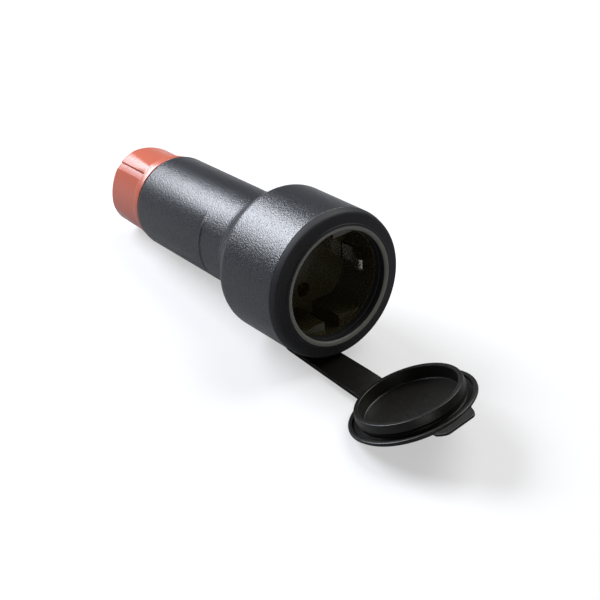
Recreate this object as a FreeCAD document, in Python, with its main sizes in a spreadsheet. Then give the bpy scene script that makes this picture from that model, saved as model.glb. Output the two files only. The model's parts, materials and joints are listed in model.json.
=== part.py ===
"""Inline socket connector: head and neck, socket insert, gland nut, lid on a strap.

Millimetres. The connector is drawn along Y with the lip of its mouth at y = 0, then every
piece is seated in the pose it takes on a table: nose up, on the head's rear edge and the nut.
"""
import FreeCAD
import Part
import Sketcher
import os

DRIVING = {
    "mouth_room": 0.65,
    "mouth_depth": 5.3,
    "lip_width": 2.5,
    "lip_height": 0.55,
    "lip_edge": 1.15,
    "nose_inset": 0.8,
    "nose_front": 1.0,
    "nose_edge": 2.6,
    "head_wall": 5.6,
    "head_taper": 0.2,
    "head_front": 4.05,
    "head_length": 32.15,
    "head_edge": 3.0,
    "shoulder_fillet": 4.0,
    "neck_front_radius": 19.0,
    "neck_end_radius": 18.4,
    "neck_length": 68.8,
    "neck_bore": 15.7,
    "panel_depth": 0.5,
    "panel_start": 24.8,
    "panel_length": 38.0,
    "panel_height": 19.0,
    "sleeve_wall": 1.5,
    "sleeve_length": 7.95,
    "fit_gap": 0.05,
    "play": 0.1,
    "insert_radius": 22.4,
    "recess_wall": 2.4,
    "recess_depth": 17.0,
    "floor_thickness": 4.0,
    "cup_depth": 7.1,
    "cup_wall": 1.8,
    "chord_height": 4.6,
    "chord_setback": 1.1,
    "chord_gap": 6.6,
    "pin_offset": 9.5,
    "pin_hole_radius": 2.75,
    "strip_width": 6.0,
    "strip_thickness": 0.8,
    "clip_inset": 0.8,
    "clip_lean": 3.7,
    "clip_curl": 1.0,
    "clip_setback": 2.2,
    "clip_end_length": 1.6,
    "clip_lean_length": 7.0,
    "clip_slot_depth": 1.5,
    "carrier_gap": 0.4,
    "stem_radius": 15.3,
    "stem_length": 21.0,
    "contact_radius": 3.6,
    "contact_bore": 2.45,
    "contact_length": 10.4,
    "spring_thickness": 0.6,
    "spring_length": 2.8,
    "spring_slit": 1.4,
    "wire_block_width": 8.0,
    "wire_block_depth": 7.5,
    "wire_block_length": 14.0,
    "wire_hole_radius": 1.9,
    "wire_hole_length": 12.0,
    "earth_stem_width": 5.0,
    "earth_stem_depth": 3.0,
    "clamp_width": 2.2,
    "clamp_thickness": 0.3,
    "clamp_rise": 1.2,
    "clamp_length": 7.0,
    "wire_screw_radius": 1.45,
    "wire_screw_head": 2.4,
    "wire_screw_head_height": 1.45,
    "wire_screw_setback": 4.5,
    "carrier_screw_inset": 4.7,
    "carrier_screw_radius": 1.45,
    "carrier_screw_head": 2.3,
    "carrier_screw_head_height": 2.0,
    "carrier_screw_length": 6.4,
    "spigot_radius": 13.2,
    "spigot_length": 14.0,
    "spigot_bore": 11.0,
    "seat_lip_radius": 7.0,
    "seat_lip_thickness": 2.0,
    "seat_depth": 20.0,
    "basket_wall": 2.0,
    "basket_length": 21.6,
    "basket_slit": 1.4,
    "basket_slit_length": 11.0,
    "seal_bore": 4.8,
    "seal_length": 19.0,
    "washer_bore": 7.0,
    "washer_radius": 11.6,
    "washer_thickness": 1.0,
    "ring_width": 1.5,
    "ring_length": 2.2,
    "nut_gap": 0.4,
    "nut_collar_radius": 18.0,
    "nut_collar_length": 3.7,
    "nut_front_radius": 17.65,
    "nut_end_radius": 16.3,
    "nut_wall": 6.0,
    "nut_edge": 1.2,
    "nut_bevel": 0.4,
    "nut_hole_radius": 6.8,
    "nut_hole_edge": 0.7,
    "thread_play": 0.2,
    "flat_distance": 15.2,
    "flat_setback": 1.5,
    "rib_width": 2.0,
    "rib_depth": 0.8,
    "strap_angle": 191.3,
    "strap_width": 12.2,
    "strap_thickness": 2.0,
    "strap_sink": 2.0,
    "strap_root": 25.5,
    "strap_bend": 19.0,
    "strap_gap": 0.2,
    "channel_room": 0.7,
    "strap_landing": 14.0,
    "button_radius": 2.6,
    "button_setback": 3.5,
    "button_length": 2.5,
    "lid_x": -5.31,
    "lid_y": -52.22,
    "lid_pitch": 20.7,
    "lid_roll": 10.4,
    "flange_radius": 23.1,
    "flange_thickness": 1.8,
    "flange_edge": 0.6,
    "groove_radius": 19.0,
    "groove_height": 2.6,
    "bead_radius": 19.9,
    "bead_height": 3.5,
    "rim_radius": 18.9,
    "rim_wall": 1.7,
    "rim_height": 6.4,
    "rim_edge": 0.6,
    "lid_floor": 1.5,
    "tab_root": 19.6,
    "tab_end": 14.0,
    "tab_reach": 28.4,
    "tab_corner": 2.0,
}

DERIVED = {
    "recess_radius": "insert_radius - recess_wall",
    "mouth_radius": "recess_radius + mouth_room",
    "lip_radius": "mouth_radius + lip_width",
    "chord_distance": "recess_radius - chord_height",
    "head_radius": "insert_radius + head_wall",
    "head_rear": "head_front + head_length",
    "head_rear_radius": "head_radius - head_taper",
    "nose_radius": "head_radius - nose_inset",
    "nose_round": "min(nose_edge; nose_radius - lip_radius)",
    "neck_end": "head_rear + neck_length",
    "spigot_end": "neck_end + spigot_length",
    "sleeve_end": "head_front + sleeve_length",
    "insert_bore": "insert_radius + fit_gap",
    "sleeve_radius": "insert_bore + sleeve_wall",
    "collar_seat": "sleeve_radius + fit_gap",
    "recess_floor": "mouth_depth + recess_depth",
    "floor_back": "recess_floor + floor_thickness",
    "insert_end": "floor_back + cup_depth",
    "cup_radius": "insert_radius - cup_wall",
    "panel_front": "head_rear + panel_start",
    "panel_radius": "neck_end_radius - panel_depth",
    "seat_end": "spigot_end - seat_depth",
    "seat_lip": "seat_end - seat_lip_thickness",
    "clip_span": "recess_radius - clip_inset",
    "leg_outer": "clip_span + strip_thickness / 2",
    "leg_inner": "clip_span - strip_thickness / 2",
    "knee_outer": "leg_outer - clip_lean",
    "knee_inner": "leg_inner - clip_lean",
    "curl_outer": "knee_outer + clip_curl",
    "curl_inner": "knee_inner + clip_curl",
    "clip_front": "mouth_depth + clip_setback",
    "clip_knee": "clip_front + clip_end_length",
    "clip_bend": "clip_knee + clip_lean_length",
    "base_back": "floor_back + strip_thickness",
    "clip_slot": "strip_width + 6 * play",
    "carrier_radius": "cup_radius - play",
    "carrier_end": "insert_end - carrier_gap",
    "stem_end": "carrier_end + stem_length",
    "contact_front": "floor_back + 2 * play",
    "block_front": "contact_front + contact_length",
    "block_inner": "pin_offset - wire_block_depth / 2",
    "block_outer": "pin_offset + wire_block_depth / 2",
    "block_end": "block_front + wire_block_length",
    "wire_hole_start": "block_end - wire_hole_length",
    "wire_screw_place": "block_front + wire_screw_setback",
    "spring_front": "base_back + 2 * play",
    "spring_bore": "contact_radius + fit_gap",
    "spring_radius": "spring_bore + spring_thickness",
    "spring_seat": "spring_radius + play",
    "clamp_inner": "pin_offset + clamp_rise",
    "clamp_outer": "clamp_inner + clamp_thickness",
    "carrier_screw_circle": "insert_radius - carrier_screw_inset",
    "carrier_screw_x": "carrier_screw_circle * sin(45 deg)",
    "carrier_screw_seat": "carrier_end - carrier_screw_head_height - 2 * play",
    "carrier_screw_tip": "carrier_screw_seat - carrier_screw_length",
    "basket_radius": "spigot_bore - play",
    "basket_bore": "basket_radius - basket_wall",
    "basket_end": "seat_end + basket_length",
    "basket_slit_start": "basket_end - basket_slit_length",
    "seal_radius": "basket_bore - play",
    "seal_end": "seat_end + seal_length",
    "washer_front": "basket_end + play",
    "washer_end": "washer_front + washer_thickness",
    "ring_bore": "spigot_radius + fit_gap",
    "ring_radius": "ring_bore + ring_width",
    "ring_end": "neck_end + ring_length",
    "ring_room": "ring_radius + 2 * play",
    "nut_front": "neck_end + nut_gap",
    "ring_room_end": "ring_end + 3 * play",
    "nut_collar_end": "nut_front + nut_collar_length",
    "nut_body_front": "nut_collar_end + nut_bevel",
    "nut_wall_front": "washer_end + play",
    "nut_end": "nut_wall_front + nut_wall",
    "thread_bore": "spigot_radius + thread_play",
    "flat_start": "nut_body_front + flat_setback",
    "strap_top": "head_radius - strap_sink",
    "strap_middle": "strap_top + strap_thickness / 2",
    "channel_floor": "strap_top - 2 * play",
    "button_place": "strap_root - button_setback",
    "rest_drop": "head_rear_radius - head_edge - nut_end_radius + nut_edge",
    "rest_run": "nut_end - nut_edge - head_rear + head_edge",
    "rest_span": "sqrt(rest_drop ^ 2 + rest_run ^ 2)",
    "rest_tilt": "atan2(rest_drop; rest_run) + asin((head_edge - nut_edge) / rest_span)",
    "rest_arm": "head_rear - head_edge - mouth_depth",
    "rest_depth": "(head_rear_radius - head_edge) * cos(rest_tilt)",
    "table_level": "-rest_arm * sin(rest_tilt) - rest_depth - head_edge",
    "lid_lean": "cos(lid_pitch * 1 deg) * cos(lid_roll * 1 deg)",
    "lid_low": "(flange_radius - flange_edge) * sqrt(1 - lid_lean ^ 2) - flange_edge * lid_lean",
    "lid_z": "table_level + lid_low + flange_edge",
    "rim_bore": "rim_radius - rim_wall",
    "tab_start": "flange_radius - 4 * flange_thickness",
    "tab_root_half": "tab_root / 2",
    "tab_end_half": "tab_end / 2",
}

MOUTH = "create(<<vector>>; 0; -Sizes.mouth_depth * cos(Sizes.rest_tilt);" \
    " Sizes.mouth_depth * sin(Sizes.rest_tilt))"
NOSE_UP = "create(<<rotation>>; create(<<vector>>; 1; 0; 0); -Sizes.rest_tilt)"
SEATED = f"create(<<placement>>; {MOUTH}; {NOSE_UP})"
LID_PLACE = "create(<<vector>>; Sizes.lid_x; Sizes.lid_y; Sizes.lid_z)"
LID_TURN = "create(<<rotation>>; 0; -Sizes.lid_roll; -Sizes.lid_pitch)"
LAID = f"create(<<placement>>; {LID_PLACE}; {LID_TURN})"
ALONG = FreeCAD.Rotation(FreeCAD.Vector(1, 0, 0), -90)

doc = FreeCAD.newDocument("Connector")
sheet = doc.addObject("Spreadsheet::Sheet", "Sizes")


def fill_sheet():
    """One row per size: its name, then the cell that carries the name as alias."""
    rows = [(name, str(number)) for name, number in DRIVING.items()]
    rows += [(name, "=" + formula) for name, formula in DERIVED.items()]
    for row, (name, text) in enumerate(rows, 1):
        sheet.set(f"A{row}", name)
        sheet.set(f"B{row}", text)
        sheet.setAlias(f"B{row}", name)
    doc.recompute()


def named(text):
    """A size's name, with or without a minus sign, as seen from another object."""
    if text.startswith("-"):
        return "-Sizes." + text[1:]
    return "Sizes." + text


def number(text):
    """The present value of a size."""
    return float(sheet.evalExpression(named(text)))


def bind(thing, **sizes):
    """Tie properties of an object to expressions over the sheet."""
    for prop, expression in sizes.items():
        thing.setExpression(prop.replace("_of_", "."), expression)
    return thing


def outline(body, name, role, corners):
    """A closed sketch through corners, each corner tied to two sizes of the sheet."""
    plane = next(item for item in body.Origin.OriginFeatures if item.Role == role)
    sketch = body.newObject("Sketcher::SketchObject", name)
    sketch.AttachmentSupport = (plane, "")
    sketch.MapMode = "FlatFace"
    spots = []
    for across, along in corners:
        x = number(across) if across != "0" else 0.0
        y = number(along) if along != "0" else 0.0
        spots.append(FreeCAD.Vector(x, y, 0))
    count = len(spots)
    for index in range(count):
        sketch.addGeometry(Part.LineSegment(spots[index], spots[(index + 1) % count]))
    for index in range(count):
        sketch.addConstraint(Sketcher.Constraint("Coincident", index, 2, (index + 1) % count, 1))
    for index, (across, along) in enumerate(corners):
        for kind, axis, size, value in (
            ("DistanceX", -2, across, spots[index].x),
            ("DistanceY", -1, along, spots[index].y),
        ):
            if size == "0":
                sketch.addConstraint(Sketcher.Constraint("PointOnObject", index, 1, axis))
                continue
            place = sketch.addConstraint(Sketcher.Constraint(kind, -1, 1, index, 1, value))
            sketch.setExpression(f"Constraints[{place}]", named(size))
    return sketch


def turned(label, role, corners):
    """A body made by turning an outline about the sketch's upright axis."""
    body = doc.addObject("PartDesign::Body", label)
    sketch = outline(body, label + "_outline", role, corners)
    turn = body.newObject("PartDesign::Revolution", label + "_turn")
    turn.Profile = sketch
    turn.ReferenceAxis = (sketch, ["V_Axis"])
    doc.recompute()
    return body


def rings(body, *places):
    """Names of the circular edges of a turned body, each found by radius and height."""
    upright = FreeCAD.Vector(0, 1, 1)
    names = []
    for radius, height in places:
        for index, edge in enumerate(body.Shape.Edges, 1):
            curve = edge.Curve
            if not isinstance(curve, Part.Circle):
                continue
            off = abs(curve.Radius - number(radius)) + abs(curve.Center.dot(upright) - height)
            if off < 1e-3:
                names.append(f"Edge{index}")
    return names


def rounded(body, size, *places):
    """Round the circular edges at the given radius and height."""
    tip = body.Tip
    heights = [(radius, number(height) if height != "0" else 0.0) for radius, height in places]
    fillet = body.newObject("PartDesign::Fillet", f"{body.Name}_{size}")
    fillet.Base = (tip, rings(body, *heights))
    bind(fillet, Radius=named(size))
    doc.recompute()
    return body


def posts(body, across, along):
    """Names of the upright straight edges at the given distances from the middle and the axis."""
    names = []
    for index, edge in enumerate(body.Shape.Edges, 1):
        low, high = edge.Vertexes[0].Point, edge.Vertexes[-1].Point
        run = high - low
        if abs(run.x) + abs(run.y) > 1e-3 or not isinstance(edge.Curve, Part.Line):
            continue
        if abs(abs(low.x) - number(across)) + abs(abs(low.y) - number(along)) < 1e-3:
            names.append(f"Edge{index}")
    return names


def rod(name, radius, start, length, x="0", z="0"):
    """A cylinder along Y, from start, with its axis at x and z."""
    cylinder = doc.addObject("Part::Cylinder", name)
    cylinder.Placement = FreeCAD.Placement(FreeCAD.Vector(), ALONG)
    bind(cylinder, Radius=radius, Height=length)
    return bind(cylinder, Placement_of_Base_of_x=x, Placement_of_Base_of_y=start,
                Placement_of_Base_of_z=z)


def spoke(name, radius, inner, length, along, angle):
    """A cylinder that points away from the axis, at an angle from the top about Y."""
    cylinder = doc.addObject("Part::Cylinder", name)
    bind(cylinder, Radius=radius, Height=length)
    base = f"create(<<vector>>; ({inner}) * sin({angle}); {along}; ({inner}) * cos({angle}))"
    turn = f"create(<<rotation>>; create(<<vector>>; 0; 1; 0); {angle})"
    return bind(cylinder, Placement=f"create(<<placement>>; {base}; {turn})")


def block(name, width, start, length, inner, depth, angle):
    """A box that points away from the axis, at an angle from the top about Y."""
    box = doc.addObject("Part::Box", name)
    bind(box, Length=width, Width=length, Height=depth)
    x = f"({inner}) * sin({angle}) - ({width}) / 2 * cos({angle})"
    z = f"({inner}) * cos({angle}) + ({width}) / 2 * sin({angle})"
    base = f"create(<<vector>>; {x}; {start}; {z})"
    turn = f"create(<<rotation>>; create(<<vector>>; 0; 1; 0); {angle})"
    return bind(box, Placement=f"create(<<placement>>; {base}; {turn})")


def joined(name, pieces):
    """One shape from several that touch or overlap."""
    whole = doc.addObject("Part::MultiFuse", name)
    whole.Shapes = pieces
    return whole


def less(name, base, cutters):
    """A shape with every cutter taken away, each of which must remove something."""
    doc.recompute()
    for cutter in cutters:
        if base.Shape.common(cutter.Shape).Volume < 1e-4:
            raise RuntimeError(f"{cutter.Name} takes nothing from {name}")
    cut = doc.addObject("Part::Cut", name)
    cut.Base = base
    cut.Tool = cutters[0] if len(cutters) == 1 else joined(name + "_cuts", cutters)
    doc.recompute()
    return cut


def overlap(name, one, other):
    """What two shapes have in common."""
    shared = doc.addObject("Part::Common", name)
    shared.Base = one
    shared.Tool = other
    return shared


def group(name, pieces):
    """Several loose copies of a piece, kept as one node."""
    together = doc.addObject("Part::Compound", name)
    together.Links = pieces
    doc.recompute()
    return together


fill_sheet()
S = {name: "Sizes." + name for name in list(DRIVING) + list(DERIVED)}
UP = "0 deg"
DOWN = "180 deg"
RIGHT = "90 deg"
LEFT = "270 deg"
ROOT_ANGLE = f"{S['strap_angle']} * 1 deg"

# housing: head, neck and spigot in one moulding
housing = turned("housing_body", "XY_Plane", [
    ("collar_seat", "head_front"),
    ("head_radius", "head_front"),
    ("head_rear_radius", "head_rear"),
    ("neck_front_radius", "head_rear"),
    ("neck_end_radius", "neck_end"),
    ("spigot_radius", "neck_end"),
    ("spigot_radius", "spigot_end"),
    ("spigot_bore", "spigot_end"),
    ("spigot_bore", "seat_end"),
    ("seat_lip_radius", "seat_end"),
    ("seat_lip_radius", "seat_lip"),
    ("neck_bore", "seat_lip"),
    ("neck_bore", "insert_end"),
    ("insert_bore", "insert_end"),
    ("insert_bore", "sleeve_end"),
    ("collar_seat", "sleeve_end"),
])
rounded(housing, "head_edge", ("head_rear_radius", "head_rear"))
rounded(housing, "shoulder_fillet", ("neck_front_radius", "head_rear"))
panel_shell = less(
    "panel_shell",
    rod("panel_outer", S["head_radius"], S["panel_front"], S["panel_length"]),
    [rod("panel_inner", S["panel_radius"], S["panel_front"], S["panel_length"])],
)
side_panels = []
for side, angle in (("left", LEFT), ("right", RIGHT)):
    window = block(f"panel_window_{side}", S["panel_height"], S["panel_front"], S["panel_length"],
                   f"{S['neck_bore']} / 2", S["head_radius"], angle)
    side_panels.append(overlap(f"panel_{side}", panel_shell, window))
channel = block("strap_channel", f"{S['strap_width']} + 2 * {S['channel_room']}", S["head_front"],
                f"{S['strap_root']} - {S['head_front']} + 3 * {S['play']}",
                S["channel_floor"], S["head_radius"], ROOT_ANGLE)
button_hole = spoke("button_hole", f"{S['button_radius']} + 2 * {S['play']}",
                    f"{S['strap_top']} - {S['button_length']} - 3 * {S['play']}",
                    S["head_radius"], S["button_place"], ROOT_ANGLE)
nodes = {"housing": less("housing", housing, side_panels + [channel, button_hole])}

# front collar: nose ring with its lip, and the sleeve that seats in the head
collar = turned("front_collar", "XY_Plane", [
    ("mouth_radius", "mouth_depth"),
    ("mouth_radius", "0"),
    ("lip_radius", "0"),
    ("lip_radius", "lip_height"),
    ("nose_radius", "nose_front"),
    ("head_radius", "head_front"),
    ("sleeve_radius", "head_front"),
    ("sleeve_radius", "sleeve_end"),
    ("insert_bore", "sleeve_end"),
    ("insert_bore", "mouth_depth"),
])
rounded(collar, "nose_round", ("nose_radius", "nose_front"))
nodes["front_collar"] = rounded(collar, "lip_edge", ("mouth_radius", "0"))

# socket insert: round recess, chord blocks at top and bottom, clip slots at the sides
insert = turned("insert_body", "XY_Plane", [
    ("0", "mouth_depth"),
    ("insert_radius", "mouth_depth"),
    ("insert_radius", "insert_end"),
    ("cup_radius", "insert_end"),
    ("cup_radius", "floor_back"),
    ("0", "floor_back"),
])
recess = rod("recess", S["recess_radius"], S["mouth_depth"], S["recess_depth"])
entry = rod("recess_entry", S["recess_radius"], S["mouth_depth"], S["chord_setback"])
band = block("recess_band", f"2 * {S['recess_radius']}", S["mouth_depth"], S["recess_depth"],
             f"-{S['chord_distance']}", f"2 * {S['chord_distance']}", UP)
notch = block("recess_notch", S["chord_gap"], S["mouth_depth"], S["recess_depth"],
              f"-{S['recess_radius']}", f"2 * {S['recess_radius']}", UP)
cutters = [entry, overlap("recess_room", recess, band), overlap("recess_keys", recess, notch)]
for side, angle in (("left", LEFT), ("right", RIGHT)):
    cutters.append(block(
        f"clip_slot_{side}", S["clip_slot"], f"{S['clip_front']} - 4 * {S['play']}",
        f"{S['floor_back']} - {S['clip_front']} + 4 * {S['play']}",
        f"{S['leg_inner']} - 4 * {S['play']}", S["clip_slot_depth"], angle))
pins = {"live": ("0", S["pin_offset"], UP), "neutral": ("0", f"-{S['pin_offset']}", DOWN)}
for name, (x, z, angle) in pins.items():
    cutters.append(rod(f"pin_hole_{name}", S["pin_hole_radius"], S["recess_floor"],
                       S["floor_thickness"], x, z))
screw_places = {
    "upper": (S["carrier_screw_x"], S["carrier_screw_x"]),
    "lower": (f"-{S['carrier_screw_x']}", f"-{S['carrier_screw_x']}"),
}
for name, (x, z) in screw_places.items():
    cutters.append(rod(f"pilot_{name}", f"{S['carrier_screw_radius']} + {S['fit_gap']}",
                       f"{S['carrier_screw_tip']} - 2 * {S['play']}", S["floor_thickness"], x, z))
nodes["socket_insert"] = less("socket_insert", insert, cutters)

# earth bracket: one strip, bent forward at both sides into the clips
bracket = doc.addObject("PartDesign::Body", "earth_bracket")
right_side = [
    ("leg_outer", "base_back"),
    ("leg_outer", "clip_bend"),
    ("knee_outer", "clip_knee"),
    ("curl_outer", "clip_front"),
    ("curl_inner", "clip_front"),
    ("knee_inner", "clip_knee"),
    ("leg_inner", "clip_bend"),
    ("leg_inner", "floor_back"),
]
left_side = [("-" + across, along) for across, along in reversed(right_side)]
strip = bracket.newObject("PartDesign::Pad", "strip")
strip.Profile = outline(bracket, "strip_outline", "XY_Plane", right_side + left_side)
strip.SideType = "Symmetric"
bind(strip, Length=S["strip_width"])
doc.recompute()
nodes["earth_bracket"] = bracket

# contacts, with a wire block behind each sleeve, and the earth terminal beside them
wire_blocks = {"live": UP, "neutral": DOWN, "earth": LEFT}


def terminal(name, front, angle):
    """A wire block on the given front, bored for the wire and for its screw."""
    body = block(f"{name}_block", S["wire_block_width"], S["block_front"], S["wire_block_length"],
                 S["block_inner"], S["wire_block_depth"], angle)
    bore = rod(f"{name}_wire_hole", S["wire_hole_radius"], S["wire_hole_start"],
               S["wire_hole_length"], f"{S['pin_offset']} * sin({angle})",
               f"{S['pin_offset']} * cos({angle})")
    thread = spoke(f"{name}_screw_hole", f"{S['wire_screw_radius']} + {S['fit_gap']}",
                   S["pin_offset"], S["wire_block_depth"], S["wire_screw_place"], angle)
    return less(f"{name}_terminal", joined(f"{name}_whole", [front, body]), [bore, thread])


for name, (x, z, angle) in pins.items():
    barrel = rod(f"{name}_barrel", S["contact_radius"], S["contact_front"], S["contact_length"], x, z)
    pin_room = rod(f"{name}_pin_room", S["contact_bore"], S["contact_front"],
                   f"{S['contact_length']} - {S['strip_thickness']}", x, z)
    sleeve = less(f"{name}_sleeve", barrel, [pin_room])
    nodes[f"{name}_contact"] = terminal(name, sleeve, angle)
earth_stem = block("earth_stem", S["earth_stem_width"], S["base_back"],
                   f"{S['block_front']} - {S['base_back']}",
                   f"{S['pin_offset']} - {S['earth_stem_depth']} / 2", S["earth_stem_depth"], LEFT)
nodes["earth_terminal"] = terminal("earth", earth_stem, LEFT)

springs = []
for name, (x, z, angle) in pins.items():
    ring = rod(f"{name}_spring_outer", S["spring_radius"], S["spring_front"], S["spring_length"], x, z)
    hole = rod(f"{name}_spring_hole", S["spring_bore"], S["spring_front"], S["spring_length"], x, z)
    slit = block(f"{name}_spring_slit", S["spring_slit"], S["spring_front"], S["spring_length"],
                 S["pin_offset"], S["spring_seat"], angle)
    springs.append(less(f"{name}_spring", ring, [hole, slit]))
nodes["contact_springs"] = group("contact_springs", springs)

# terminal block: carrier behind the insert, pocketed for everything it holds
carrier = turned("carrier_body", "XY_Plane", [
    ("0", "base_back"),
    ("carrier_radius", "base_back"),
    ("carrier_radius", "carrier_end"),
    ("stem_radius", "carrier_end"),
    ("stem_radius", "stem_end"),
    ("0", "stem_end"),
])
pockets = []
for name, (x, z, angle) in pins.items():
    pockets.append(rod(f"{name}_sleeve_room", f"{S['contact_radius']} + {S['play']}",
                       S["base_back"], f"{S['block_front']} - {S['base_back']}", x, z))
    pockets.append(rod(f"{name}_spring_room", S["spring_seat"], S["base_back"],
                       f"{S['spring_length']} + 4 * {S['play']}", x, z))
pockets.append(block("earth_stem_room", f"{S['earth_stem_width']} + 2 * {S['play']}", S["base_back"],
                     f"{S['block_front']} - {S['base_back']}",
                     f"{S['pin_offset']} - {S['earth_stem_depth']} / 2 - {S['play']}",
                     f"{S['earth_stem_depth']} + 2 * {S['play']}", LEFT))
for name, angle in wire_blocks.items():
    pockets.append(block(
        f"{name}_room", f"{S['wire_block_width']} + 2 * {S['play']}",
        f"{S['block_front']} - {S['play']}", f"{S['stem_end']} - {S['block_front']} + {S['play']}",
        f"{S['block_inner']} - {S['play']}", f"{S['wire_block_depth']} + 2 * {S['play']}", angle))
    pockets.append(spoke(f"{name}_driver_hole", f"{S['wire_screw_head']} + 2 * {S['play']}",
                         S["pin_offset"], S["stem_radius"], S["wire_screw_place"], angle))
for name, (x, z) in screw_places.items():
    pockets.append(rod(f"{name}_shank_hole", f"{S['carrier_screw_radius']} + {S['play']}",
                       S["base_back"], f"{S['carrier_end']} - {S['base_back']}", x, z))
    pockets.append(rod(f"{name}_counterbore", f"{S['carrier_screw_head']} + {S['play']}",
                       S["carrier_screw_seat"], f"{S['carrier_end']} - {S['carrier_screw_seat']}", x, z))
nodes["terminal_block"] = less("terminal_block", carrier, pockets)

# screws and pressure plates
wire_screws = []
plates = []
for name, angle in wire_blocks.items():
    shank = spoke(f"{name}_screw_shank", S["wire_screw_radius"], S["clamp_outer"],
                  f"{S['block_outer']} - {S['clamp_outer']}", S["wire_screw_place"], angle)
    head = spoke(f"{name}_screw_head", S["wire_screw_head"], S["block_outer"],
                 S["wire_screw_head_height"], S["wire_screw_place"], angle)
    wire_screws.append(joined(f"{name}_screw", [shank, head]))
    plates.append(block(f"{name}_plate", S["clamp_width"], S["wire_hole_start"], S["clamp_length"],
                        S["clamp_inner"], S["clamp_thickness"], angle))
nodes["terminal_screws"] = group("terminal_screws", wire_screws)
nodes["wire_clamps"] = group("wire_clamps", plates)
long_screws = []
for name, (x, z) in screw_places.items():
    shank = rod(f"{name}_long_shank", S["carrier_screw_radius"], S["carrier_screw_tip"],
                S["carrier_screw_length"], x, z)
    head = rod(f"{name}_long_head", S["carrier_screw_head"], S["carrier_screw_seat"],
               S["carrier_screw_head_height"], x, z)
    long_screws.append(joined(f"{name}_long_screw", [shank, head]))
nodes["carrier_screws"] = group("carrier_screws", long_screws)

# gland: claws, rubber sleeve, thrust washer, seal at the thread's root
basket = turned("basket_body", "XY_Plane", [
    ("basket_bore", "seat_end"),
    ("basket_radius", "seat_end"),
    ("basket_radius", "basket_end"),
    ("basket_bore", "basket_end"),
])
claw_count = 6
slits = [
    block(f"claw_slit_{index}", S["basket_slit"], S["basket_slit_start"], S["basket_slit_length"],
          f"{S['basket_bore']} / 2", S["basket_radius"], f"{index} * 360 deg / {claw_count}")
    for index in range(claw_count)
]
nodes["clamp_basket"] = less("clamp_basket", basket, slits)
nodes["gland_seal"] = turned("gland_seal", "XY_Plane", [
    ("seal_bore", "seat_end"),
    ("seal_radius", "seat_end"),
    ("seal_radius", "seal_end"),
    ("seal_bore", "seal_end"),
])
nodes["thrust_washer"] = turned("thrust_washer", "XY_Plane", [
    ("washer_bore", "washer_front"),
    ("washer_radius", "washer_front"),
    ("washer_radius", "washer_end"),
    ("washer_bore", "washer_end"),
])
nodes["spigot_seal"] = turned("spigot_seal", "XY_Plane", [
    ("ring_bore", "neck_end"),
    ("ring_radius", "neck_end"),
    ("ring_radius", "ring_end"),
    ("ring_bore", "ring_end"),
])

# gland nut: collar, tapered body with six flats and three ribbed corners
nut = turned("nut_body", "XY_Plane", [
    ("ring_room", "nut_front"),
    ("nut_collar_radius", "nut_front"),
    ("nut_collar_radius", "nut_collar_end"),
    ("nut_front_radius", "nut_body_front"),
    ("nut_end_radius", "nut_end"),
    ("nut_hole_radius", "nut_end"),
    ("nut_hole_radius", "nut_wall_front"),
    ("thread_bore", "nut_wall_front"),
    ("thread_bore", "ring_room_end"),
    ("ring_room", "ring_room_end"),
])
rounded(nut, "nut_edge", ("nut_end_radius", "nut_end"))
rounded(nut, "nut_hole_edge", ("nut_hole_radius", "nut_end"))
flat_count = 6
flats = [
    block(f"flat_{index}", f"2 * {S['nut_collar_radius']}", S["flat_start"],
          f"{S['nut_end']} - {S['flat_start']}", S["flat_distance"], S["nut_collar_radius"],
          f"90 deg + {index} * 360 deg / {flat_count}")
    for index in range(flat_count)
]
ribs = [
    block(f"corner_{index}", S["rib_width"], S["flat_start"],
          f"{S['nut_end']} - {S['flat_start']}", f"{S['nut_end_radius']} - {S['rib_depth']}",
          S["nut_collar_radius"], f"180 deg + {index} * 720 deg / {flat_count}")
    for index in range(flat_count // 2)
]
nodes["gland_nut"] = less("gland_nut", nut, flats + ribs)

# lid: disc with a plug rim and a pull tab
lid = turned("lid", "XZ_Plane", [
    ("0", "0"),
    ("flange_radius", "0"),
    ("flange_radius", "flange_thickness"),
    ("groove_radius", "flange_thickness"),
    ("groove_radius", "groove_height"),
    ("bead_radius", "bead_height"),
    ("rim_radius", "rim_height"),
    ("rim_bore", "rim_height"),
    ("rim_bore", "lid_floor"),
    ("0", "lid_floor"),
])
rounded(lid, "rim_edge", ("rim_radius", "rim_height"), ("rim_bore", "rim_height"))
rounded(lid, "flange_edge", ("flange_radius", "0"), ("flange_radius", "flange_thickness"))
tab = lid.newObject("PartDesign::Pad", "tab")
tab.Profile = outline(lid, "tab_outline", "XY_Plane", [
    ("-tab_root_half", "-tab_start"),
    ("-tab_end_half", "-tab_reach"),
    ("tab_end_half", "-tab_reach"),
    ("tab_root_half", "-tab_start"),
])
bind(tab, Length=S["flange_thickness"])
doc.recompute()
corners = lid.newObject("PartDesign::Fillet", "tab_corners")
corners.Base = (tab, posts(lid, "tab_end_half", "tab_reach"))
bind(corners, Radius=S["tab_corner"])
doc.recompute()
nodes["lid"] = lid


def band_section(place, width, thickness):
    """The strap's rectangular section, standing across its run in the given placement."""
    half = width / 2
    rise = thickness / 2
    corners = [(-half, -rise), (half, -rise), (half, rise), (-half, rise), (-half, -rise)]
    wire = Part.makePolygon([FreeCAD.Vector(x, 0, z) for x, z in corners])
    wire.Placement = place
    return wire


def eased(share):
    """A share from 0 to 1 with a level start and a level end."""
    share = min(max(share, 0.0), 1.0)
    return share * share * (3 - 2 * share)


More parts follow.
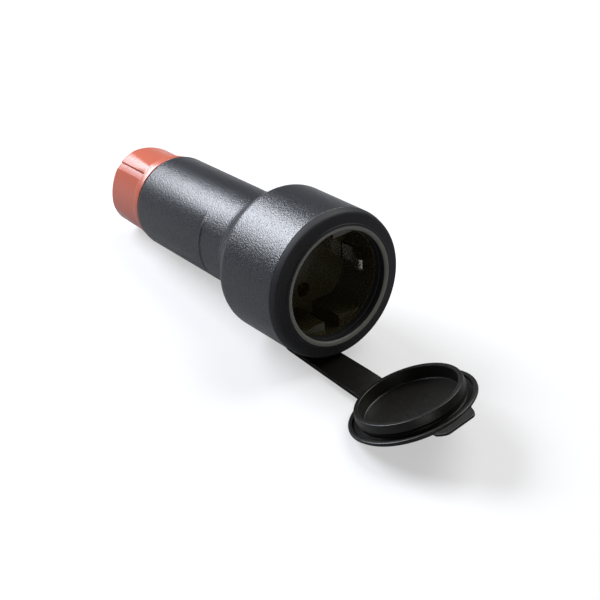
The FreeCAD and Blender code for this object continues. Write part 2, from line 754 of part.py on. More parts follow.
def strap_run(seat, lid_place):
    """Placements of the strap's sections from the head, down to the table, to the lid's edge."""
    root_roll = number("strap_angle") - 180
    root_turn = FreeCAD.Rotation(FreeCAD.Vector(0, 1, 0), root_roll)
    outward = root_turn.multVec(FreeCAD.Vector(0, 0, -1))
    bend = seat.multVec(outward * number("strap_middle") + FreeCAD.Vector(0, number("strap_bend"), 0))
    edge = lid_place.multVec(FreeCAD.Vector(0, number("flange_radius") - number("strap_thickness"), 0))
    level = number("table_level") + number("strap_thickness") / 2 + 2 * number("play")
    landing = -number("strap_landing")
    drop_run = bend.y - landing
    climb_run = landing - edge.y
    rise = drop_run * seat.Rotation.multVec(FreeCAD.Vector(0, -1, 0)).z
    stations = 6
    places = []
    for step in range(1, stations + 1):
        share = step / stations
        drop = eased(share)
        z = bend.z * (1 - drop) + level * drop + rise * share * (1 - share) ** 2
        spot = FreeCAD.Vector(bend.x, bend.y - drop_run * share, z)
        places.append((spot, root_roll * (1 - drop)))
    for step in range(1, stations + 1):
        share = step / stations
        roll = FreeCAD.Rotation(FreeCAD.Vector(0, 1, 0), -number("lid_roll") * eased(share))
        low = roll.multVec(FreeCAD.Vector(-number("strap_width") / 2, 0, 0))
        x = bend.x + (edge.x - bend.x) * share
        spot = FreeCAD.Vector(x, landing - climb_run * share, level + abs(low.z))
        places.append((spot, -number("lid_roll") * eased(share)))
    upright = FreeCAD.Vector(0, 1, 0)
    return [FreeCAD.Placement(spot, FreeCAD.Rotation(upright, roll)) for spot, roll in places]


def strap_shape():
    """A band from the button under the head, along the table, to the lid's edge."""
    width = number("strap_width")
    thick = number("strap_thickness")
    seat = FreeCAD.Placement(sheet.evalExpression(SEATED))
    lid_place = FreeCAD.Placement(sheet.evalExpression(LAID))
    root_turn = FreeCAD.Rotation(FreeCAD.Vector(0, 1, 0), number("strap_angle") - 180)
    outward = root_turn.multVec(FreeCAD.Vector(0, 0, -1))
    ends = []
    for along in ("strap_root", "strap_bend"):
        spot = outward * number("strap_middle") + FreeCAD.Vector(0, number(along), 0)
        ends.append(band_section(seat.multiply(FreeCAD.Placement(spot, root_turn)), width, thick))
    root = Part.makeLoft(ends, True, True)
    run = [band_section(place, width, thick) for place in strap_run(seat, lid_place)]
    band = Part.makeLoft(ends[1:] + run, True, False)
    edge = Part.makeCylinder(number("flange_radius") + number("strap_gap"), 6 * thick,
                             FreeCAD.Vector(0, 0, -3 * thick))
    edge.Placement = lid_place.multiply(edge.Placement)
    stem = Part.makeCylinder(number("button_radius"), number("button_length") + thick / 4,
                             outward * (number("strap_top") + thick / 4)
                             + FreeCAD.Vector(0, number("button_place"), 0), -outward)
    stem.Placement = seat.multiply(stem.Placement)
    return band.cut(edge).multiFuse([root, stem]).removeSplitter()


strap = doc.addObject("Part::Feature", "lid_strap")
strap.Shape = strap_shape()
nodes["lid_strap"] = strap

for name, node in nodes.items():
    node.Label = name
    if name == "lid":
        bind(node, Placement=LAID)
    elif name != "lid_strap":
        bind(node, Placement=SEATED)
doc.recompute()

for item in doc.Objects:
    if "Invalid" in item.State or "Error" in item.State:
        raise RuntimeError(f"{item.Name} did not build")
for name, node in nodes.items():
    if node.Shape.isNull() or not node.Shape.isValid() or not node.Shape.Solids:
        raise RuntimeError(f"{name} has no valid solid")

os.makedirs("parts", exist_ok=True)
for name, node in nodes.items():
    node.Shape.exportStep(f"parts/{name}.step")
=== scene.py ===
# %% [markdown]
# Inline socket connector
#
# The part is a round plastic connector that lies on a table: a wide head with the plug's
# mouth, a slimmer neck to hold it by, a coloured gland nut at the rear, and a rubber lid that
# lies open in front on its strap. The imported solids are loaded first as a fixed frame. The
# turned pieces are drawn in millimetres in the axes of the connector or of its lid and then
# laid where the frame has them, so that nothing drifts away from the solids.

# %% Load the frame
import json
import math

import bmesh
import bpy
import numpy as np
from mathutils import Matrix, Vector

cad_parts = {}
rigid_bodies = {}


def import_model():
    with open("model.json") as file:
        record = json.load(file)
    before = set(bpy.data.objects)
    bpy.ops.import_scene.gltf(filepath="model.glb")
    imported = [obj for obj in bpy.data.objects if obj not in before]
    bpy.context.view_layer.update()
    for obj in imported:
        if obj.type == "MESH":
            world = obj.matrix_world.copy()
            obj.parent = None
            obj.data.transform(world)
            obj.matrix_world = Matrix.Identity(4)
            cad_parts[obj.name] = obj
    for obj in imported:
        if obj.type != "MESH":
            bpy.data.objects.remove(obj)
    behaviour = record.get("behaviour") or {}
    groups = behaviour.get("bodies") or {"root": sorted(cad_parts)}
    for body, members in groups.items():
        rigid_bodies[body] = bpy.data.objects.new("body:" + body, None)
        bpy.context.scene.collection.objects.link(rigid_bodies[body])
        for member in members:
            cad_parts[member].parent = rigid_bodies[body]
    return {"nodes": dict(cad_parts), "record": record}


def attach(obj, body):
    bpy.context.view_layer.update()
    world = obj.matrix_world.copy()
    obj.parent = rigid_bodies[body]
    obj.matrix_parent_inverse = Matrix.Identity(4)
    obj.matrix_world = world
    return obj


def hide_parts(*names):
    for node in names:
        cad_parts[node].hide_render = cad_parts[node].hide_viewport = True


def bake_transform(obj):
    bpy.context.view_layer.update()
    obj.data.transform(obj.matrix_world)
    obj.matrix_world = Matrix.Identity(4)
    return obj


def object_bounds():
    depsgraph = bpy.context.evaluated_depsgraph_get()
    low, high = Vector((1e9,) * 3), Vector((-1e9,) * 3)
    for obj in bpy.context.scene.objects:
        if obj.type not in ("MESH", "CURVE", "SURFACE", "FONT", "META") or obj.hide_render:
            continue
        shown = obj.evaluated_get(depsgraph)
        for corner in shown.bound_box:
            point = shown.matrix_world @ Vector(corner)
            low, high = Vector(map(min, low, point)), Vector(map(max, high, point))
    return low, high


MM = 0.001
for leftover in list(bpy.data.objects):
    bpy.data.objects.remove(leftover)
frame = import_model()
cad_low, cad_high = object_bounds()
nodes = frame["nodes"]
print("nodes:", len(nodes), "box mm:", [round(v / MM, 1) for v in cad_high - cad_low])

# %% [markdown]
# The connector's axes
#
# On the table the connector lies nose up, because its head is wider than its nut. The record
# tells how far: the mount at the mouth has a place and an axis that points out of the socket.
# With those two, a point given by its turn about the axis, its radius and its depth behind
# the lip can be put into the frame. Turns are counted from the top towards the right side.

# %% Seat points on the connector's axis
# How far the mount lies behind the lip of the mouth.
MOUTH_DEPTH = 5.3
mouth = next(m for m in frame["record"]["mounts"] if m["name"] == "plug_mouth")
MOUTH_PLACE = np.array(mouth["pos_m"])
REARWARD = -np.array(mouth["axis"]) / np.linalg.norm(mouth["axis"])
SIDEWAYS = np.array([1.0, 0.0, 0.0])
CONNECTOR_AXES = np.array([SIDEWAYS, REARWARD, np.cross(SIDEWAYS, REARWARD)])
TILT = math.atan2(-REARWARD[2], REARWARD[1])


def seated(points):
    """Connector millimetres, with the lip at y = 0, to frame metres."""
    local = np.asarray(points, float) - [0.0, MOUTH_DEPTH, 0.0]
    return MOUTH_PLACE + local @ CONNECTOR_AXES * MM


print("nose-up tilt:", round(math.degrees(TILT), 2))

# %% [markdown]
# The lid's axes
#
# The lid rests at a slant that no round number gives, so it is read from its own solid. The
# largest triangle lies on one of its two big round faces and gives the lid's axis. The inner
# floor is a plain circle, so the middle of its extent is the lid's centre, and the points
# furthest from there lie on the pull tab.

# %% Measure where the lid lies
LID_FLOOR, LEVEL_TOLERANCE = 1.5, 0.01
# The tab of the solid reaches a little further than the one that is drawn below.
SOLID_TAB_REACH, TAB_END_SHARE = 28.4, 0.95
corners = np.array([v.co for v in nodes["lid"].data.vertices])
triangles = np.array([list(p.vertices) for p in nodes["lid"].data.polygons])
spans = np.cross(corners[triangles[:, 1]] - corners[triangles[:, 0]],
                 corners[triangles[:, 2]] - corners[triangles[:, 0]])
widest = spans[np.argmax(np.linalg.norm(spans, axis=1))]
LID_UP = widest / np.linalg.norm(widest) * np.sign(widest[2])
heights = corners @ LID_UP / MM
floor_ring = corners[np.abs(heights - heights.min() - LID_FLOOR) < LEVEL_TOLERANCE]
across_lid = np.cross(LID_UP, SIDEWAYS)
across_lid /= np.linalg.norm(across_lid)
flat_axes = np.array([np.cross(across_lid, LID_UP), across_lid])
extent = floor_ring @ flat_axes.T
LID_PLACE = (extent.min(0) + extent.max(0)) / 2 @ flat_axes + LID_UP * heights.min() * MM
away = corners - LID_PLACE
away -= np.outer(away @ LID_UP, LID_UP)
tab_way = away[np.linalg.norm(away, axis=1) > TAB_END_SHARE * SOLID_TAB_REACH * MM].mean(0)
tab_way /= np.linalg.norm(tab_way)
LID_AXES = np.array([np.cross(-tab_way, LID_UP), -tab_way, LID_UP])


def laid(points):
    """Lid millimetres, with the underside at z = 0 and the tab towards -y, to frame metres."""
    return LID_PLACE + np.asarray(points, float) @ LID_AXES * MM


print("lid centre mm:", np.round(LID_PLACE / MM, 2), "axis:", np.round(LID_UP, 4))

# %% [markdown]
# Finishes
#
# Nearly everything that shows is moulded: polyamide, soft thermoplastic, resin and rubber.
# What tells them apart is the mould's surface, so each finish is a pair of shades, a pair of
# roughnesses and a grain of a real size that runs between them and lifts the surface. A
# picture could not be reused at another size, so the grain is worked out from noise.

# %% Colours and nodes
def linear(code):
    """An sRGB hex colour as a linear RGBA tuple."""
    shares = [int(code[k:k + 2], 16) / 255 for k in (1, 3, 5)]
    return tuple(s / 12.92 if s <= 0.04045 else ((s + 0.055) / 1.055) ** 2.4 for s in shares) + (1,)


def node(tree, kind, settings, inputs):
    """A node with its settings, and its inputs set to values or linked to outputs."""
    made = tree.nodes.new(kind)
    for name, value in settings.items():
        setattr(made, name, value)
    for name, value in inputs.items():
        if isinstance(value, bpy.types.NodeSocket):
            tree.links.new(value, made.inputs[name])
        else:
            made.inputs[name].default_value = value
    return made


print("middle grey in linear light:", round(linear("#808080")[0], 3))

# %% A moulded finish
GRAIN_DETAIL = 2.0
# Noise stays near its middle, so the shades and roughnesses spread over that part of it only.
SHADE_STOPS, ROUGH_SPAN = (0.36, 0.68), (0.3, 0.7)


def finish(name, shades, roughness, grain_mm, lift_mm, metallic=0.0, gloss=0.5):
    """A finish whose grain runs between two shades and two roughnesses and lifts the surface."""
    material = bpy.data.materials.new(name)
    material.use_nodes = True
    tree = material.node_tree
    tree.nodes.clear()
    place = node(tree, "ShaderNodeTexCoord", {}, {})
    grain = node(tree, "ShaderNodeTexNoise", {}, {
        "Vector": place.outputs["Object"], "Scale": 1 / (grain_mm * MM), "Detail": GRAIN_DETAIL})
    shade = node(tree, "ShaderNodeValToRGB", {}, {"Fac": grain.outputs["Fac"]})
    for stop, position, code in zip(shade.color_ramp.elements, SHADE_STOPS, shades):
        stop.position = position
        stop.color = linear(code)
    rough = node(tree, "ShaderNodeMapRange", {}, {
        "Value": grain.outputs["Fac"], "From Min": ROUGH_SPAN[0], "From Max": ROUGH_SPAN[1],
        "To Min": roughness[0], "To Max": roughness[1]})
    lift = node(tree, "ShaderNodeBump", {}, {
        "Height": grain.outputs["Fac"], "Distance": lift_mm * MM})
    surface = node(tree, "ShaderNodeBsdfPrincipled", {}, {
        "Base Color": shade.outputs["Color"], "Roughness": rough.outputs["Result"],
        "Metallic": metallic, "Specular IOR Level": gloss, "Normal": lift.outputs["Normal"]})
    node(tree, "ShaderNodeOutputMaterial", {}, {"Surface": surface.outputs["BSDF"]})
    return material


# Glass-filled polyamide from a spark-eroded mould: a fine pebble that breaks a highlight up
# into specks. The real pebble is about 0.3 mm; it is drawn twice as coarse so that it shows.
eroded_polyamide = finish("spark-eroded polyamide", ("#0b0d10", "#191c21"), (0.31, 0.41), 0.6, 0.15)
print("finish:", eroded_polyamide.name, "nodes:", len(eroded_polyamide.node_tree.nodes))

# %% The other finishes
# Soft thermoplastic from a fine-ground mould: even and dark, with a wide dull sheen.
soft_plastic = finish("soft moulded thermoplastic", ("#1e1e20", "#272729"), (0.5, 0.6), 0.4, 0.01,
                      gloss=0.15)
# The same plastic in a paler, slightly olive grey: painted light, for the light that the lip's
# front faces catch from the front.
front_lit_lip_plastic = finish("thermoplastic with painted front light", ("#5a5a54", "#64645e"), (0.48, 0.56), 0.4, 0.01)
# Phenolic resin from a polished mould: nearly black with a brown cast and crisp edges.
phenolic_resin = finish("moulded phenolic resin", ("#282414", "#332e1d"), (0.22, 0.3), 0.8, 0.01)
# Dyed polyamide from a smooth mould: strong even colour and a broad soft shine.
coral_polyamide = finish("dyed coral polyamide", ("#974d3b", "#994f3d"), (0.28, 0.32), 1.2, 0.01)
# Rubber from a plain mould: dark brown-black, with a dull soft shine.
moulded_rubber = finish("moulded rubber", ("#0d0c0a", "#141310"), (0.32, 0.42), 0.7, 0.015,
                        gloss=0.25)
# Unfilled grey-white polyamide of the inner works: pale, matt and a little waxy.
plain_polyamide = finish("plain polyamide", ("#b9b7ae", "#c6c4bb"), (0.5, 0.6), 1.0, 0.01)
# Machined brass, nickel-plated strip and zinc-plated steel: metals with a faint drawn unevenness.
machined_brass = finish("machined brass", ("#b08d4c", "#c29d58"), (0.26, 0.36), 0.5, 0.004, 1.0)
plated_nickel = finish("nickel-plated strip", ("#e0ddd6", "#ece9e2"), (0.22, 0.3), 0.8, 0.004, 1.0)
zinc_steel = finish("zinc-plated steel", ("#b4b6b8", "#c4c6c8"), (0.28, 0.38), 0.5, 0.004, 1.0)
print("finishes:", len(bpy.data.materials))

# %% [markdown]
# Turning
#
# Nearly every moulding here is round, so its mesh is an outline carried about an axis, as a
# lathe would. Blender's Screw modifier could do it, but the real pieces are not quite round:
# the nut has flats, the neck has recessed panels, the head has a channel for the strap. A grid
# of points is therefore computed, and a rule may move each point before the mesh is made.
# Where a rule has a sharp step, columns and rows are crowded around it.

# %% Round the corners of an outline
ARC_STEPS = 7


def filleted(corner_list):
    """A closed outline through (radius, depth, rounding) corners, each rounded by an arc."""
    spots = []
    count = len(corner_list)
    for index, (radius, depth, rounding) in enumerate(corner_list):
        here = np.array([radius, depth], float)
        if rounding == 0:
            spots.append(here)
            continue
        back = np.array(corner_list[index - 1][:2]) - here
        ahead = np.array(corner_list[(index + 1) % count][:2]) - here
        back /= np.linalg.norm(back)
        ahead /= np.linalg.norm(ahead)
        half = math.acos(float(np.clip(back @ ahead, -1, 1))) / 2
        middle = (back + ahead) / np.linalg.norm(back + ahead) * rounding / math.sin(half)
        start = back * rounding / math.tan(half) - middle
        end = ahead * rounding / math.tan(half) - middle
        sweep = math.pi - 2 * half
        for share in np.linspace(0, 1, ARC_STEPS):
            arm = start * math.sin((1 - share) * sweep) + end * math.sin(share * sweep)
            spots.append(here + middle + arm / math.sin(sweep))
    return np.array(spots)


print("points on a rounded corner:", ARC_STEPS)

# %% Make a mesh piece
MERGE_DISTANCE, SLIVER_LENGTH, SHARP_DEGREES = 0.004, 0.002, 38


def shown(name, data):
    """A new object of the scene, for a mesh, a lamp or a camera."""
    made = bpy.data.objects.new(name, data)
    bpy.context.scene.collection.objects.link(made)
    return made


def piece(name, points, faces, material):
    """A cleaned mesh object with its place in its vertices."""
    mesh = bpy.data.meshes.new(name)
    mesh.from_pydata([tuple(p) for p in points], [], [tuple(f) for f in faces])
    shape = bmesh.new()
    shape.from_mesh(mesh)
    bmesh.ops.remove_doubles(shape, verts=shape.verts, dist=MERGE_DISTANCE * MM)
    bmesh.ops.dissolve_degenerate(shape, edges=shape.edges, dist=SLIVER_LENGTH * MM)
    bare = [edge for edge in shape.edges if not edge.link_faces]
    bmesh.ops.delete(shape, geom=bare, context="EDGES")
    bmesh.ops.recalc_face_normals(shape, faces=shape.faces)
    shape.to_mesh(mesh)
    shape.free()
    mesh.shade_smooth()
    mesh.set_sharp_from_angle(angle=math.radians(SHARP_DEGREES))
    mesh.materials.append(material)
    print(name, "faces:", len(mesh.polygons))
    return shown(name, mesh)


print("edges stay sharp above degrees:", SHARP_DEGREES)

# %% Carry an outline about the axis
CROWDED_DEGREES = np.array([-1.5, -1.0, -0.6, -0.25, 0.0, 0.25, 0.6, 1.0, 1.5])


def turns(count, crowded=()):
    """Even turns about the axis in radians, with more of them around the given degrees."""
    even = np.linspace(0, 360, count, endpoint=False)
    near = [(angle + CROWDED_DEGREES) % 360 for angle in crowded]
    return np.radians(np.unique(np.round(np.concatenate([even, *near]), 3)))


def grid_faces(rows, columns):
    """Quads over a grid that closes on itself both ways."""
    row, column = np.meshgrid(np.arange(rows), np.arange(columns), indexing="ij")
    below = (row + 1) % rows
    right = (column + 1) % columns
    quads = [row * columns + column, row * columns + right,
             below * columns + right, below * columns + column]
    return np.stack(quads, -1).reshape(-1, 4)


def turned(name, outline, columns, place, material, rule=None):
    """An outline carried about the axis, with a rule that may move each point."""
    turn, radius = np.meshgrid(columns, outline[:, 0])
    depth = np.repeat(outline[:, 1:2], len(columns), axis=1)
    if rule:
        radius, depth = rule(radius, depth, turn)
    points = place(radius, depth, turn).reshape(-1, 3)
    return piece(name, points, grid_faces(len(outline), len(columns)), material)


def on_connector(radius, depth, turn):
    """Points about the connector's axis, turns counted from the top."""
    return seated(np.stack([radius * np.sin(turn), depth, radius * np.cos(turn)], -1))


print("columns added at a sharp step:", len(CROWDED_DEGREES))

# %% [markdown]
# Housing
#
# Head, neck and threaded spigot are one moulding of hard black plastic. The head runs into the
# neck through a soft hollow shoulder, and each side of the neck carries a shallow panel that
# starts behind a low ridge. Underneath, a flat channel takes the strap of the lid. One turned
# outline gives the whole section, inside too, and the rule cuts the panels and the channel.

# %% Draw the housing's outline
HEAD_RADIUS, HEAD_FRONT, HEAD_REAR = 28.0, 4.05, 36.2
HEAD_EDGE_RADIUS, HEAD_EDGE = 27.8, HEAD_REAR - 2.2
NECK_RADIUS, NECK_START = 19.1, HEAD_REAR + 7.8
NECK_END_RADIUS, NECK_END = 18.5, 105.0
SPIGOT_CORE, SPIGOT_BORE, SPIGOT_END = 12.35, 11.0, 119.0
CABLE_HOLE, CABLE_HOLE_END = 7.0, 99.0
CAVITY_RADIUS, CAVITY_END = 15.7, 97.0
INSERT_SEAT, INSERT_END = 22.45, 33.4
COLLAR_SEAT, COLLAR_REAR = 24.0, 12.0
PANEL_START = 61.0
# The rows that draw the panel's step, and the tapering neck's radius where they start and end.
STEP_ROWS_FROM, STEP_ROWS_TO = PANEL_START - 3, PANEL_START + 2
NECK_BEFORE_STEP, NECK_BEHIND_STEP = 18.96, 18.92
HEAD_ROWS, OUTSIDE_HEAD = 1.0, 24.5
STEP_ROWS, OUTSIDE_NECK = 0.2, 17.0


def finely(outline, step, low, high, least_radius):
    """The outline with no run longer than step, outside a radius and between two depths."""
    spots = []
    for here, ahead in zip(outline, np.roll(outline, -1, axis=0)):
        middle = (here + ahead) / 2
        run = np.linalg.norm(ahead - here)
        fine = middle[0] > least_radius and low < middle[1] < high
        parts = max(1, math.ceil(run / step)) if fine else 1
        spots += [here + (ahead - here) * k / parts for k in range(parts)]
    return np.array(spots)


housing_outline = filleted([
    (COLLAR_SEAT, HEAD_FRONT, 0), (HEAD_RADIUS, HEAD_FRONT, 0.25),
    (HEAD_EDGE_RADIUS, HEAD_EDGE, 5.0), (NECK_RADIUS, NECK_START, 11.0),
    (NECK_BEFORE_STEP, STEP_ROWS_FROM, 0), (NECK_BEHIND_STEP, STEP_ROWS_TO, 0),
    (NECK_END_RADIUS, NECK_END, 1.8), (SPIGOT_CORE, NECK_END, 0.5),
    (SPIGOT_CORE, SPIGOT_END, 0.8), (SPIGOT_BORE, SPIGOT_END, 0.3),
    (SPIGOT_BORE, CABLE_HOLE_END, 0), (CABLE_HOLE, CABLE_HOLE_END, 0),
    (CABLE_HOLE, CAVITY_END, 0), (CAVITY_RADIUS, CAVITY_END, 0.5),
    (CAVITY_RADIUS, INSERT_END, 0), (INSERT_SEAT, INSERT_END, 0),
    (INSERT_SEAT, COLLAR_REAR, 0), (COLLAR_SEAT, COLLAR_REAR, 0),
])
housing_outline = finely(housing_outline, HEAD_ROWS, HEAD_FRONT, HEAD_REAR, OUTSIDE_HEAD)
housing_outline = finely(housing_outline, STEP_ROWS, STEP_ROWS_FROM, STEP_ROWS_TO, OUTSIDE_NECK)
print("rows of the housing:", len(housing_outline))

# %% Model the housing
PANEL_HALF, PANEL_RADIUS = 11.0, 18.3
PANEL_STEP, PANEL_SIDE, PANEL_RIDGE = 0.6, 7.0, 0.3
STRAP_TURN, CHANNEL_HALF, CHANNEL_FLOOR, CHANNEL_END = 191.3, 6.8, 25.8, 25.8
# The channel is looked for within this many radians of the strap only.
CHANNEL_SPREAD = 0.5


def eased(share):
    """0 below 0, 1 above 1, and a level start and end between them."""
    share = np.clip(share, 0, 1)
    return share * share * (3 - 2 * share)


def within(value, low, high, soft):
    """1 between low and high, easing to 0 over a soft width centred on each end."""
    return eased((value - low) / soft + 0.5) * eased((high - value) / soft + 0.5)


def from_turn(turn, degrees, period=360):
    """How far a turn is from the nearest of the angles that repeat with a period, in radians."""
    span = math.radians(period)
    return (turn - math.radians(degrees) + span / 2) % span - span / 2


def housing_rule(radius, depth, turn):
    """Side panels on the neck and the strap's channel under the head."""
    side = within(radius * np.cos(turn), -PANEL_HALF, PANEL_HALF, PANEL_SIDE)
    panel = side * eased((depth - PANEL_START) / PANEL_STEP + 0.5)
    ridge = side * PANEL_RIDGE * np.exp(-((depth - PANEL_START + PANEL_STEP) / PANEL_STEP) ** 2)
    shaped = radius + ridge - panel * (radius - PANEL_RADIUS)
    radius = np.where((radius > PANEL_RADIUS) & (depth > HEAD_REAR), shaped, radius)
    off = from_turn(turn, STRAP_TURN)
    floor = CHANNEL_FLOOR / np.cos(np.clip(off, -CHANNEL_SPREAD, CHANNEL_SPREAD))
    channel = (np.abs(floor * np.sin(off)) < CHANNEL_HALF) & (np.abs(off) < CHANNEL_SPREAD)
    channel &= depth < CHANNEL_END
    return np.where(channel, np.minimum(radius, floor), radius), depth


channel_edge = math.degrees(math.atan2(CHANNEL_HALF, CHANNEL_FLOOR))
housing_turns = turns(count=240, crowded=[STRAP_TURN - channel_edge, STRAP_TURN + channel_edge])
housing = turned("housing_shell", housing_outline, housing_turns, on_connector,
                 eroded_polyamide, housing_rule)
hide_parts("housing")
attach(housing, "connector")

# %% [markdown]
# Front collar
#
# The nose of the head is a separate ring of softer plastic. A raised lip surrounds the mouth,
# and the mouth's wall carries a shallow groove in which the lid's bead snaps home. The groove
# shows as fine double rings on the far side of the mouth. It is a plain turned outline, and
# the lip's front faces are painted paler, for the light they catch from the front.

# %% Model the front collar
MOUTH_RADIUS, SNAP_RADIUS = 20.65, 21.05
SNAP_FRONT, SNAP_FLOOR_FRONT, SNAP_FLOOR_REAR, SNAP_REAR = 2.2, 2.45, 3.05, 3.3
LIP_FLAT, LIP_RADIUS, LIP_DRAFT, LIP_STEP = 22.4, 23.15, 0.1, 0.6
NOSE_RADIUS, NOSE_DEPTH, SKIRT_RADIUS = 27.2, 1.0, 23.95
# Out to this depth and radius the lip's front faces take a paler grey, painted light from the
# front.
FRONT_LIT_DEPTH, FRONT_LIT_RADIUS = 0.5, 22.6
collar_outline = filleted([
    (MOUTH_RADIUS, MOUTH_DEPTH, 0), (MOUTH_RADIUS, SNAP_REAR, 0.12),
    (SNAP_RADIUS, SNAP_FLOOR_REAR, 0.12), (SNAP_RADIUS, SNAP_FLOOR_FRONT, 0.12),
    (MOUTH_RADIUS, SNAP_FRONT, 0.12), (MOUTH_RADIUS, 0, 1.0), (LIP_FLAT, 0, 0),
    (LIP_RADIUS, 0, 0.3), (LIP_RADIUS + LIP_DRAFT, LIP_STEP, 0.25),
    (NOSE_RADIUS, NOSE_DEPTH, 1.6), (HEAD_RADIUS, HEAD_FRONT, 0.15),
    (SKIRT_RADIUS, HEAD_FRONT, 0), (SKIRT_RADIUS, COLLAR_REAR, 0),
    (INSERT_SEAT, COLLAR_REAR, 0), (INSERT_SEAT, MOUTH_DEPTH, 0),
])
collar = turned("collar_ring", collar_outline, turns(count=256), on_connector, soft_plastic)
# The lip's front faces get the paler grey, which is painted light from the front.
collar.data.materials.append(front_lit_lip_plastic)
for face in collar.data.polygons:
    local = (np.array(face.center) - MOUTH_PLACE) @ CONNECTOR_AXES.T / MM
    radius, depth = math.hypot(local[0], local[2]), local[1] + MOUTH_DEPTH
    face.material_index = int(depth < FRONT_LIT_DEPTH and radius < FRONT_LIT_RADIUS)
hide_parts("front_collar")
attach(collar, "connector")

# %% [markdown]
# Socket insert
#
# Inside the mouth sits a cup of dark resin: a round recess, two flat-faced blocks above and
# below that key the plug, slots for the earth clips and two pin holes in the floor. It is all
# flat faces and bores, which the solid already has, so a copy of the solid is merged and given
# the small rounded edges of a moulding. These edges are what catches the light in the dark.

# %% Round the insert's edges
EDGE_WIDTH, EDGE_SEGMENTS, EDGE_DEGREES = 0.4, 2, 50
SEAM_DISTANCE, FLAT_DEGREES, INSERT_SHARP_DEGREES = 0.001, 0.5, 35


def edged(name, source, material, width):
    """A copy of a solid's mesh, merged, with flat faces joined and edges rounded."""
    mesh = nodes[source].data.copy()
    shape = bmesh.new()
    shape.from_mesh(mesh)
    bmesh.ops.remove_doubles(shape, verts=shape.verts, dist=SEAM_DISTANCE * MM)
    bmesh.ops.dissolve_limit(shape, angle_limit=math.radians(FLAT_DEGREES), verts=shape.verts,
                             edges=shape.edges)
    shape.to_mesh(mesh)
    shape.free()
    mesh.shade_smooth()
    mesh.set_sharp_from_angle(angle=math.radians(INSERT_SHARP_DEGREES))
    mesh.materials.clear()
    mesh.materials.append(material)
    made = shown(name, mesh)
    rounding = made.modifiers.new("moulded edges", "BEVEL")
    rounding.width = width * MM
    rounding.segments = EDGE_SEGMENTS
    rounding.limit_method = "ANGLE"
    rounding.angle_limit = math.radians(EDGE_DEGREES)
    rounding.harden_normals = True
    print(name, "faces:", len(mesh.polygons))
    return made


insert = edged("insert_cup", "socket_insert", phenolic_resin, EDGE_WIDTH)
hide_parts("socket_insert")
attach(insert, "connector")

# %% [markdown]
# Earth clips
#
# One strip of plated metal is bent into both earth clips: it crosses behind the floor, turns
# forwards through two slots, leans inwards and curls out again at the tips, so that a plug slides
# in between. It follows a path with one section, which is a job for Geometry Nodes: the bend
# points become a curve, the curve's corners are rounded, a flat section runs along it, and the
# result is narrowed towards the tips.

# %% Start a node tree and grow a mesh from it
def node_group(name, inputs):
    """An empty geometry tree with a geometry input and output and the named inputs."""
    tree = bpy.data.node_groups.new(name, "GeometryNodeTree")
    tree.interface.new_socket("Geometry", in_out="INPUT", socket_type="NodeSocketGeometry")
    tree.interface.new_socket("Geometry", in_out="OUTPUT", socket_type="NodeSocketGeometry")
    for label, kind in inputs.items():
        tree.interface.new_socket(label, in_out="INPUT", socket_type=kind)
    print("tree:", name, "inputs:", len(inputs))
    return tree, node(tree, "NodeGroupInput", {}, {}).outputs


def grown(name, tree, sizes, base):
    """The plain mesh that a node tree grows from a base mesh, with its named inputs set."""
    made = shown(name, base)
    grower = made.modifiers.new(tree.name, "NODES")
    grower.node_group = tree
    for socket in tree.interface.items_tree:
        if socket.in_out == "INPUT" and socket.name in sizes:
            grower[socket.identifier] = sizes[socket.name]
    graph = bpy.context.evaluated_depsgraph_get()
    mesh = bpy.data.meshes.new_from_object(made.evaluated_get(graph), depsgraph=graph)
    made.modifiers.remove(grower)
    made.data = mesh
    mesh.shade_smooth()
    mesh.set_sharp_from_angle(angle=math.radians(SHARP_DEGREES))
    print(name, "faces:", len(mesh.polygons))
    return made


# %% Build the tree of a bent strip
BEND_STEPS, TIP_SHARE = 5, 0.6
strip_tree, given = node_group("bent strip", {
    "Width": "NodeSocketFloat", "Thickness": "NodeSocketFloat", "Bend Radius": "NodeSocketFloat",
    "Tip": "NodeSocketFloat", "Full Width At": "NodeSocketFloat",
    "Place": "NodeSocketVector", "Turn": "NodeSocketRotation", "Metal": "NodeSocketMaterial"})
path = node(strip_tree, "GeometryNodeMeshToCurve", {}, {"Mesh": given["Geometry"]})
level = node(strip_tree, "GeometryNodeSetCurveNormal", {"mode": "Z_UP"}, {
    "Curve": path.outputs["Curve"]})
bent = node(strip_tree, "GeometryNodeFilletCurve", {"mode": "POLY"}, {
    "Curve": level.outputs["Curve"], "Count": BEND_STEPS, "Radius": given["Bend Radius"],
    "Limit Radius": True})
section = node(strip_tree, "GeometryNodeCurvePrimitiveQuadrilateral", {}, {
    "Width": given["Thickness"], "Height": given["Width"]})
strip = node(strip_tree, "GeometryNodeCurveToMesh", {}, {
    "Curve": bent.outputs["Curve"], "Profile Curve": section.outputs["Curve"],
    "Fill Caps": True})
spot = node(strip_tree, "GeometryNodeInputPosition", {}, {})
parts = node(strip_tree, "ShaderNodeSeparateXYZ", {}, {"Vector": spot.outputs["Position"]})
narrow = node(strip_tree, "ShaderNodeMapRange", {"interpolation_type": "SMOOTHSTEP"}, {
    "Value": parts.outputs["Y"], "From Min": given["Tip"], "From Max": given["Full Width At"],
    "To Min": TIP_SHARE, "To Max": 1.0})
shares = node(strip_tree, "ShaderNodeCombineXYZ", {}, {
    "X": 1.0, "Y": 1.0, "Z": narrow.outputs["Result"]})
tongue = node(strip_tree, "ShaderNodeVectorMath", {"operation": "MULTIPLY"}, {
    0: spot.outputs["Position"], 1: shares.outputs["Vector"]})
tipped = node(strip_tree, "GeometryNodeSetPosition", {}, {
    "Geometry": strip.outputs["Mesh"], "Position": tongue.outputs["Vector"]})
set_down = node(strip_tree, "GeometryNodeTransform", {}, {
    "Geometry": tipped.outputs["Geometry"], "Translation": given["Place"],
    "Rotation": given["Turn"]})
single = node(strip_tree, "GeometryNodeRealizeInstances", {}, {
    "Geometry": set_down.outputs["Geometry"]})
